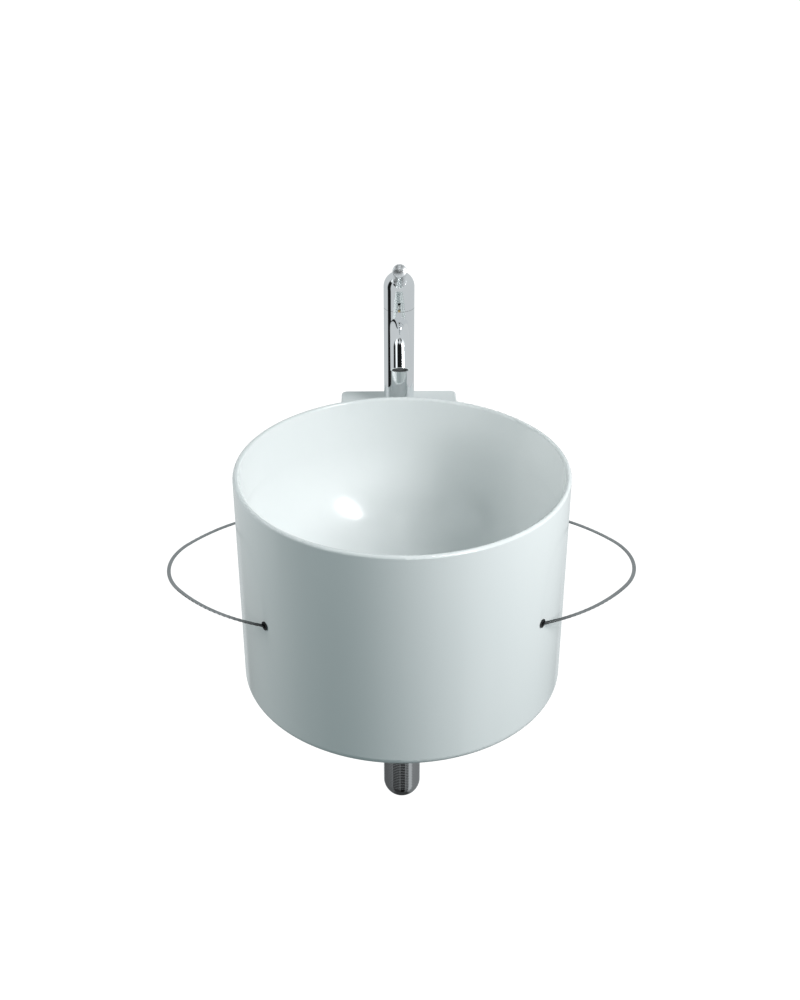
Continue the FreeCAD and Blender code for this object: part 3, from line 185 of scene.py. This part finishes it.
seen = add_node(tree, "ShaderNodeLightPath", out="Is Camera Ray")
unseen = add_node(tree, "ShaderNodeMixShader", feeds=(mirrored, dim, room))
both = add_node(tree, "ShaderNodeMixShader", feeds=(seen, unseen, plain))
end_tree(tree, "ShaderNodeOutputWorld", both)

BOWL_MIDDLE = Vector((0, -0.275, -0.05))
LAMP_DISTANCE = 2.0


def studio_light(name, azimuth, rise, width, height, watts, shape="RECTANGLE"):
    """A light on a sphere round the bowl's middle: azimuth from the front towards the right."""
    made = bpy.data.lights.new(name, "AREA")
    made.shape = shape
    made.size = width
    made.size_y = height
    made.energy = watts
    lamp = bpy.data.objects.new(name, made)
    bpy.context.scene.collection.objects.link(lamp)
    turn, lift = math.radians(azimuth), math.radians(rise)
    level_part = math.cos(lift)
    away = Vector((math.sin(turn) * level_part, -math.cos(turn) * level_part, math.sin(lift)))
    lamp.location = BOWL_MIDDLE + LAMP_DISTANCE * away
    lamp.rotation_euler = away.to_track_quat("Z", "Y").to_euler()
    lamp.visible_camera = False
    return lamp


# Two softboxes that light the surfaces, and a lamp that is only mirrored, as the bowl's bright spot
key = studio_light("key_softbox", 59, 35, width=0.9, height=0.9, watts=34.5)
key.data.color = (0.985, 1, 1.01)
key.visible_glossy = False
left = studio_light("left_softbox", -99, 18, width=0.9, height=1.2, watts=17)
left.visible_glossy = False
sparkle = studio_light("sparkle_lamp", 57, 46, width=0.42, height=0.95, watts=17, shape="ELLIPSE")
sparkle.visible_diffuse = False

CAMERA_PLACE = (-0.02434, -1.66697, 0.82996)
CAMERA_TILT = 60.5
CAMERA_PAN = -0.9
CAMERA_LENS = 47.99
bpy.context.scene.view_settings.view_transform = "Standard"
camera = bpy.data.objects.new("camera", bpy.data.cameras.new("camera"))
bpy.context.scene.collection.objects.link(camera)
camera.location = CAMERA_PLACE
camera.rotation_euler = Euler((math.radians(CAMERA_TILT), 0, math.radians(CAMERA_PAN)))
camera.data.lens = CAMERA_LENS
bpy.context.scene.camera = camera

# ---------------------------------------------------------------- ceramic body
# One piece of white fireclay, slip cast and fired under a thick gloss glaze. The wall face and the
# foot's edge stay unglazed. Two bolts through its ledge hold it to the wall.


class Finish:
    """A material round one Principled shader. What is fixed here is the same all over the surface."""

    def __init__(self, name, **fixed):
        self.material = bpy.data.materials.new(name)
        self.material.use_nodes = True
        self.tree = self.material.node_tree
        self.shader = self.tree.nodes["Principled BSDF"]
        for key, value in fixed.items():
            self.shader.inputs[key.replace("_", " ")].default_value = value
        self.place = self.node("TexCoord", out="Object")

    def node(self, kind, settings=(), out=0, feeds=(), **inputs):
        return add_node(self.tree, "ShaderNode" + kind, settings, out, feeds, **inputs)

    def grain(self, scale, detail=2, stretch=(1, 1, 1)):
        """Noise round 0.5, its patches set by the scale, drawn out along an axis by a low stretch."""
        at = self.node("Mapping", Vector=self.place, Scale=stretch)
        return self.node("TexNoise", Vector=at, Scale=scale, Detail=detail)

    def along(self, axis):
        return self.node("SeparateXYZ", feeds=(self.place,), out=axis)

    def edges(self, radius, least=0.01, soft=0.06):
        """1 on the piece's sharp edges, within a radius of them."""
        rounded = self.node("Bevel", Radius=radius)
        plain = self.node("NewGeometry", out="Normal")
        same = self.node("VectorMath", {"operation": "DOT_PRODUCT"}, "Value", (rounded, plain))
        return (1 - same).above(least + soft / 2, soft)

    def mix(self, share, first, second):
        """A colour between two, each of them red, green and blue or another mix."""
        first, second = (c if isinstance(c, Field) else (*c, 1) for c in (first, second))
        return self.node("Mix", {"data_type": "RGBA"}, 2, Factor=share, A=first, B=second)

    def wear(self, colour=None, roughness=None, height=None, distance=0.001):
        """Plugs in what changes over the surface. Height is in steps of the distance."""
        sockets = self.shader.inputs
        if colour is not None:
            plug_in(self.tree, sockets["Base Color"], colour)
        if roughness is not None:
            plug_in(self.tree, sockets["Roughness"], roughness)
        if height is not None:
            relief = self.node("Bump", Height=height, Distance=distance)
            plug_in(self.tree, sockets["Normal"], relief)


def dress(finish, *names):
    """Gives CAD nodes this finish."""
    for name in names:
        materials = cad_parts[name].data.materials
        materials.clear()
        materials.append(finish.material)


UNGLAZED_WALL = -0.0012
UNGLAZED_FOOT = -0.1988
GLAZE_SHADES = ((0.845, 0.865, 0.862), (0.875, 0.885, 0.878))
GLAZE_SPECK = (0.72, 0.7, 0.66)
CLAY_SHADES = ((0.7, 0.66, 0.58), (0.84, 0.81, 0.74))
CLAY_ROUGHNESS = 0.75

glaze = Finish("white_glaze")
cloud = glaze.grain(7)
bare = glaze.along("Y").above(UNGLAZED_WALL, 0.0006)
bare = bare.maths("MAXIMUM", glaze.along("Z").below(UNGLAZED_FOOT, 0.0008))
speck = glaze.grain(900, detail=1).above(0.82, 0.04)
fired = glaze.mix(cloud, *GLAZE_SHADES)
fired = glaze.mix(0.25 * speck, fired, GLAZE_SPECK)
clay = glaze.mix(glaze.grain(260, detail=5), *CLAY_SHADES)
gloss = 0.12 + 0.05 * glaze.grain(11)
waves = 0.2 * glaze.grain(8, detail=0) + 0.004 * glaze.grain(330)
glaze.wear(
    colour=glaze.mix(bare, fired, clay),
    roughness=gloss * (1 - bare) + CLAY_ROUGHNESS * bare,
    height=waves + 0.05 * bare * glaze.grain(1500),
)
dress(glaze, "basin_body")

# ---------------------------------------------------------------- towel hoops
# A flat strip of stainless steel, bent to a wide bow, brushed along its length and darker towards
# its ends. Each end passes the basin's wall in a black rubber bush and is drawn up by a nut inside.
STRIP_SHADES = ((0.27, 0.285, 0.29), (0.45, 0.465, 0.47))
STRIP_END = (0.03, 0.031, 0.033)
END_REACH = 0.185
strip_steel = Finish("brushed_strip", Metallic=1)
scratch = strip_steel.grain(30, detail=4, stretch=(1, 1, 130))
handled = strip_steel.grain(25)
near_end = strip_steel.along("X").maths("ABSOLUTE").below(END_REACH, 0.045)
strip_steel.wear(
    colour=strip_steel.mix(near_end, strip_steel.mix(scratch, *STRIP_SHADES), STRIP_END),
    roughness=0.14 + 0.1 * handled + 0.06 * scratch,
    height=0.02 * scratch,
)
dress(strip_steel, "left_towel_hoop", "right_towel_hoop")

RUBBER_SHADES = ((0.008, 0.008, 0.009), (0.026, 0.026, 0.027))
RUBBER_EDGE = (0.06, 0.06, 0.062)
rubber = Finish("moulded_rubber", IOR=1.5)
bloom = rubber.grain(160, detail=5)
rubbed = rubber.edges(0.0005)
rubber.wear(
    colour=rubber.mix(0.6 * rubbed, rubber.mix(bloom.above(0.55, 0.4), *RUBBER_SHADES), RUBBER_EDGE),
    roughness=0.5 + 0.25 * bloom,
    height=0.03 * rubber.grain(2200, detail=3),
)
dress(rubber, "hoop_bushes")

STEEL_SHADES = ((0.52, 0.53, 0.54), (0.68, 0.69, 0.7))
STEEL_EDGE = (0.85, 0.86, 0.87)
turned_steel = Finish("turned_steel", Metallic=1)
fleck = turned_steel.grain(700, detail=4)
bright = turned_steel.edges(0.0004)
turned_steel.wear(
    colour=turned_steel.mix(0.7 * bright, turned_steel.mix(fleck, *STEEL_SHADES), STEEL_EDGE),
    roughness=0.34 - 0.14 * bright + 0.1 * fleck,
    height=0.02 * fleck,
)
dress(turned_steel, "hoop_washers", "hoop_nuts")

# ---------------------------------------------------------------- tap column, cap and spout
# Turned and drawn brass, polished and chromed: a round column with a domed cap that turns on it and
# a bent spout brazed to its front. A thin black ring seals the column's foot against the ledge.
CHROME_SHADES = ((0.87, 0.885, 0.9), (0.93, 0.94, 0.95))
chrome = Finish("polished_chrome", Metallic=1)
smudge = chrome.grain(20, detail=5)
touched = smudge.above(0.62, 0.25)
chrome.wear(
    colour=chrome.mix(smudge, *CHROME_SHADES),
    roughness=0.025 + 0.06 * touched,
    height=0.006 * chrome.grain(60, detail=1) + 0.0006 * chrome.grain(1400),
)
dress(chrome, "tap_column", "tap_cap", "tap_spout")
dress(rubber, "tap_seal")

# ---------------------------------------------------------------- inside the cap
# The single lever cartridge is a grey acetal housing. A turned brass ring nut holds it down, and the
# cap turns on a white acetal bearing that is lightly greased.
GREY_SHADES = ((0.34, 0.35, 0.36), (0.44, 0.45, 0.46))
GREY_EDGE = (0.6, 0.61, 0.62)
moulded_grey = Finish("moulded_grey", IOR=1.48)
flow = moulded_grey.grain(90, detail=3, stretch=(1, 1, 0.3))
parting = moulded_grey.edges(0.0004)
moulded_grey.wear(
    colour=moulded_grey.mix(0.4 * parting, moulded_grey.mix(flow, *GREY_SHADES), GREY_EDGE),
    roughness=0.42 + 0.16 * flow,
    height=0.02 * moulded_grey.grain(1800, detail=3),
)
dress(moulded_grey, "tap_cartridge")

BRASS_SHADES = ((0.62, 0.44, 0.19), (0.83, 0.64, 0.33))
BRASS_EDGE = (0.93, 0.79, 0.48)
brass = Finish("turned_brass", Metallic=1)
stain = brass.grain(130, detail=5)
cut_edge = brass.edges(0.0005)
brass.wear(
    colour=brass.mix(0.7 * cut_edge, brass.mix(stain, *BRASS_SHADES), BRASS_EDGE),
    roughness=0.24 + 0.26 * stain - 0.08 * cut_edge,
    height=0.015 * brass.grain(60, detail=2, stretch=(1, 1, 50)),
)
dress(brass, "cartridge_nut")

WHITE_SHADES = ((0.78, 0.78, 0.75), (0.88, 0.88, 0.86))
moulded_white = Finish("moulded_white", IOR=1.49)
haze = moulded_white.grain(120, detail=3)
moulded_white.wear(
    colour=moulded_white.mix(haze, *WHITE_SHADES),
    roughness=0.3 + 0.2 * haze,
    height=0.02 * moulded_white.grain(1600, detail=2),
)
dress(moulded_white, "cap_bearing")

# ---------------------------------------------------------------- lever
# A turned grip in satin chrome with a domed end, screwed on a thin steel stem that leaves the cap's
# front. A chromed collar and a black ring sit round its foot. It lifts to open the water.
SATIN_SHADES = ((0.84, 0.855, 0.87), (0.93, 0.94, 0.95))
satin_chrome = Finish("satin_chrome", Metallic=1)
lathe = satin_chrome.grain(240, detail=3, stretch=(1, 0.15, 0.15))
satin_chrome.wear(
    colour=satin_chrome.mix(lathe, *SATIN_SHADES),
    roughness=0.2 + 0.1 * lathe,
    height=0.006 * lathe,
)
dress(satin_chrome, "lever_grip")
dress(chrome, "lever_collar")
dress(turned_steel, "lever_stem")

BLACK = (0.006, 0.006, 0.007)
BLACK_EDGE = (0.05, 0.05, 0.052)
satin_black = Finish("satin_black", IOR=1.5)
worn = satin_black.edges(0.0004)
mist = satin_black.grain(300, detail=4)
satin_black.wear(
    colour=satin_black.mix(0.5 * worn, BLACK, BLACK_EDGE),
    roughness=0.3 + 0.2 * mist,
    height=0.01 * mist,
)
dress(satin_black, "lever_ring")

# ---------------------------------------------------------------- aerator
# A housing screwed into the spout's mouth round an insert with a ring of holes, both given the
# satin black finish as painted shade for the dark inside of the mouth. In front of the insert lies a
# disc of woven steel wire that breaks the water up.
MOUTH = Vector((0, -0.12500, 0.14564))
MOUTH_SLANT = 52
GAUZE = {"radius": 0.0086, "wire": 0.00016, "count": 17, "depth": 0.00155}
GAUZE_SHADES = ((0.1, 0.1, 0.1), (0.24, 0.24, 0.24))
# The satin black on the housing and insert is painted shade, standing in for the mouth's dark inside
dress(satin_black, "aerator_housing", "aerator_insert")

gauze_steel = Finish("gauze_steel", Metallic=1)
scale_film = gauze_steel.grain(500, detail=4)
gauze_steel.wear(
    colour=gauze_steel.mix(scale_film, *GAUZE_SHADES),
    roughness=0.25 + 0.2 * scale_film,
    height=0.01 * gauze_steel.grain(3000),
)


class Rule:
    """A Geometry Nodes tree with named sizes, which makes one finished mesh."""

    def __init__(self, name, **sizes):
        self.name = name
        self.sizes = sizes
        self.tree = bpy.data.node_groups.new(name, "GeometryNodeTree")
        interface = self.tree.interface
        self.sockets = {}
        for word, value in sizes.items():
            kind = "NodeSocketInt" if isinstance(value, int) else "NodeSocketFloat"
            made = interface.new_socket(name=word, in_out="INPUT", socket_type=kind)
            self.sockets[word] = made.identifier
        interface.new_socket(name="Geometry", in_out="OUTPUT", socket_type="NodeSocketGeometry")
        self.given = self.tree.nodes.new("NodeGroupInput")

    def size(self, word):
        return Field(self.tree, self.given.outputs[word])

    def node(self, kind, settings=(), out=0, feeds=(), **inputs):
        return add_node(self.tree, "GeometryNode" + kind, settings, out, feeds, **inputs)

    def shader_node(self, kind, settings=(), out=0, feeds=(), **inputs):
        return add_node(self.tree, "ShaderNode" + kind, settings, out, feeds, **inputs)

    def piece(self, geometry, name, finish, place=Matrix(), body="basin"):
        """Ends the tree, reads its result as a plain mesh, and puts that in the frame."""
        real = self.node("RealizeInstances", feeds=(geometry,))
        painted = self.node("SetMaterial", Geometry=real, Material=finish.material)
        self.tree.links.new(painted.socket, self.tree.nodes.new("NodeGroupOutput").inputs[0])
        seed = bpy.data.objects.new(name + "_seed", bpy.data.meshes.new(name + "_seed"))
        bpy.context.scene.collection.objects.link(seed)
        modifier = seed.modifiers.new(self.name, "NODES")
        modifier.node_group = self.tree
        for word, value in self.sizes.items():
            modifier[self.sockets[word]] = value
        graph = bpy.context.evaluated_depsgraph_get()
        mesh = bpy.data.meshes.new_from_object(seed.evaluated_get(graph), depsgraph=graph)
        bpy.data.objects.remove(seed)
        mesh.transform(place)
        mesh.name = name
        mesh.materials.clear()
        mesh.materials.append(finish.material)
        mesh.polygons.foreach_set("material_index", [0] * len(mesh.polygons))
        made = bpy.data.objects.new(name, mesh)
        bpy.context.scene.collection.objects.link(made)
        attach(made, body)
        return made


weave = Rule("wire_gauze", Radius=GAUZE["radius"], Wire=GAUZE["wire"], Count=GAUZE["count"])
radius = weave.size("Radius")
count = weave.size("Count")
outermost = radius * 0.97
first_wire = weave.shader_node("CombineXYZ", X=0 - outermost)
pitch = weave.shader_node("CombineXYZ", X=outermost * 2 / (count - 1))
row = weave.node("MeshLine", {"mode": "OFFSET"}, Count=count, Start_Location=first_wire, Offset=pitch)
wire = weave.node("MeshCylinder", Vertices=6, Radius=weave.size("Wire"), Depth=radius * 2)
wire_flat = weave.node("Transform", Geometry=wire, Rotation=(math.pi / 2, 0, 0))
across = weave.shader_node("SeparateXYZ", feeds=(weave.node("InputPosition"),), out="X") / radius
chord = (1 - across * across).maths("SQRT")
stretch = weave.shader_node("CombineXYZ", X=1, Y=chord, Z=1)
wires = weave.node("InstanceOnPoints", Points=row, Instance=wire_flat, Scale=stretch)
up = weave.shader_node("CombineXYZ", Z=weave.size("Wire") * 1.6)
crossing = weave.node("Transform", Geometry=wires, Rotation=(0, 0, math.pi / 2), Translation=up)
cloth = weave.tree.nodes.new("GeometryNodeJoinGeometry")
for strand in (wires, crossing):
    weave.tree.links.new(strand.socket, cloth.inputs[0])
# The disc's own upward axis points out of the spout's mouth
lean = Matrix.Rotation(math.radians(90 + MOUTH_SLANT), 4, "X")
mouth_axis = lean.to_3x3() @ Vector((0, 0, 1))
gauze_place = Matrix.Translation(MOUTH - mouth_axis * GAUZE["depth"]) @ lean
weave.piece(Field(weave.tree, cloth.outputs[0]), "aerator_gauze", gauze_steel, gauze_place)

# ---------------------------------------------------------------- fixing under the ledge
# The tap stands on the ledge and is drawn down by one threaded steel rod, zinc plated, through a
# rubber pad and a pressed steel plate to a long brass nut.
dress(rubber, "clamp_pad")

ZINC_SHADES = ((0.5, 0.52, 0.55), (0.74, 0.75, 0.76))
ZINC_EDGE = (0.82, 0.83, 0.84)
zinc = Finish("spangled_zinc", Metallic=1)
crystal = zinc.node("TexVoronoi", {"feature": "F1"}, Vector=zinc.place, Scale=220)
spangle = zinc.grain(400, detail=3) * 0.6 + crystal * 0.4
zinc_edge = zinc.edges(0.0005)
zinc.wear(
    colour=zinc.mix(0.6 * zinc_edge, zinc.mix(spangle, *ZINC_SHADES), ZINC_EDGE),
    roughness=0.3 + 0.25 * spangle,
    height=0.01 * zinc.grain(1500, detail=2),
)
dress(zinc, "clamp_plate")
dress(brass, "tap_stud_nut")

# The rod's thread is an M8: 1.25 mm a turn, cut 0.6 mm deep
ROD = {"y": -0.027, "low": 0.0145, "high": 0.099, "radius": 0.004, "pitch": 0.00125, "cut": 0.0006}
ROWS_A_TURN = 6
rod_length = ROD["high"] - ROD["low"]
thread = Rule(
    "threaded_rod",
    Radius=ROD["radius"],
    Length=rod_length,
    Pitch=ROD["pitch"],
    Cut=ROD["cut"],
    Rings=round(rod_length / ROD["pitch"]) * ROWS_A_TURN,
)
blank = thread.node(
    "MeshCylinder",
    Vertices=24,
    Side_Segments=thread.size("Rings"),
    Radius=thread.size("Radius"),
    Depth=thread.size("Length"),
)
spot = thread.node("InputPosition")
x, y, z = (thread.shader_node("SeparateXYZ", feeds=(spot,), out=axis) for axis in "XYZ")
turned = z / thread.size("Pitch") - y.maths("ARCTAN2", x) / (2 * math.pi)
valley = turned.maths("PINGPONG", 0.5) * 2
inwards = 1 - valley * thread.size("Cut") / thread.size("Radius")
cut_to = thread.shader_node("CombineXYZ", X=x * inwards, Y=y * inwards, Z=z)
rod = thread.node("SetPosition", Geometry=blank, Position=cut_to)
rod_place = Matrix.Translation((0, ROD["y"], (ROD["low"] + ROD["high"]) / 2))
rod_piece = thread.piece(rod, "tap_stud_thread", zinc, rod_place)
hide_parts("tap_stud")

# ---------------------------------------------------------------- waste
# A chromed brass flange in the bowl's hole with a tail through the ceramic, held by a washer and a
# lock nut under it, between rubber seals. The plug stands on a stem in a plastic guide and rises.
dress(chrome, "waste_flange", "waste_plug")
dress(rubber, "waste_upper_seal", "waste_lower_seal", "plug_seal")
dress(turned_steel, "waste_washer", "plug_stem")
dress(brass, "waste_nut")
dress(moulded_white, "plug_guide")

# ---------------------------------------------------------------- trap
# A bottle trap of chromed brass tube and turnings. Its cup, with fine lathe lines left under the
# chrome, unscrews for cleaning, and the outlet pipe goes into the wall behind a pressed rosette.
TRAP_CLEAN = (0.9, 0.91, 0.92)
TRAP_DRIED = (0.8, 0.8, 0.79)
trap_chrome = Finish("trap_chrome", Metallic=1)
water_mark = trap_chrome.grain(55, detail=6)
dried = water_mark.above(0.66, 0.1)
trap_chrome.wear(
    colour=trap_chrome.mix(0.3 * dried, TRAP_CLEAN, TRAP_DRIED),
    roughness=0.035 + 0.1 * dried + 0.03 * water_mark,
    height=0.006 * trap_chrome.grain(60, detail=1) + 0.001 * dried,
)
dress(trap_chrome, "trap_inlet_nut", "trap_inlet_pipe", "trap_body", "trap_top_nut")
dress(trap_chrome, "trap_outlet_nut", "trap_outlet_pipe", "wall_rosette")
dress(rubber, "trap_inlet_seal", "trap_top_seal", "trap_outlet_seal", "trap_cup_seal")

CUP_LINE = 0.0028
CUP_SIDE = (-0.398, -0.328)
CUP_GROOVE = (0.6, 0.61, 0.63)
cup_chrome = Finish("turned_chrome", Metallic=1)
height = cup_chrome.along("Z")
groove = (height / CUP_LINE).maths("FRACT").between(0.35, 0.65, 0.3) * height.between(*CUP_SIDE, 0.004)
cup_smudge = cup_chrome.grain(40, detail=5)
cup_chrome.wear(
    colour=cup_chrome.mix(0.12 * groove, TRAP_CLEAN, CUP_GROOVE),
    roughness=0.03 + 0.05 * cup_smudge + 0.05 * groove,
    height=0.05 * groove + 0.004 * cup_chrome.grain(60, detail=1),
)
dress(cup_chrome, "trap_cup")

# Round grip ribs on the three nuts that are turned by hand, each standing 0.4 mm proud.
# Each row: name, number of ribs, radius of the nut, length of a rib, and its middle and direction
RIB_RADIUS = 0.0009
RIB_PROUD = 0.0004
LYING = Matrix.Rotation(math.pi / 2, 4, "X")
NUTS = (
    ("inlet_nut_ribs", 36, 0.026, 0.017, Matrix.Translation((0, -0.275, -0.1692))),
    ("top_nut_ribs", 32, 0.0235, 0.011, Matrix.Translation((0, -0.275, -0.2469))),
    ("outlet_nut_ribs", 32, 0.0235, 0.011, Matrix.Translation((0, -0.2384, -0.2905)) @ LYING),
)
for name, count, nut_radius, length, place in NUTS:
    ribs = Rule(name + "_rule", Radius=nut_radius, Length=length, Rib=RIB_RADIUS, Count=count)
    seat = ribs.size("Radius") - ribs.size("Rib") + RIB_PROUD
    ring = ribs.node("MeshCircle", Vertices=ribs.size("Count"), Radius=seat)
    bar = ribs.node("MeshCylinder", Vertices=10, Radius=ribs.size("Rib"), Depth=ribs.size("Length"))
    ribs.piece(ribs.node("InstanceOnPoints", Points=ring, Instance=bar), name, trap_chrome, place)
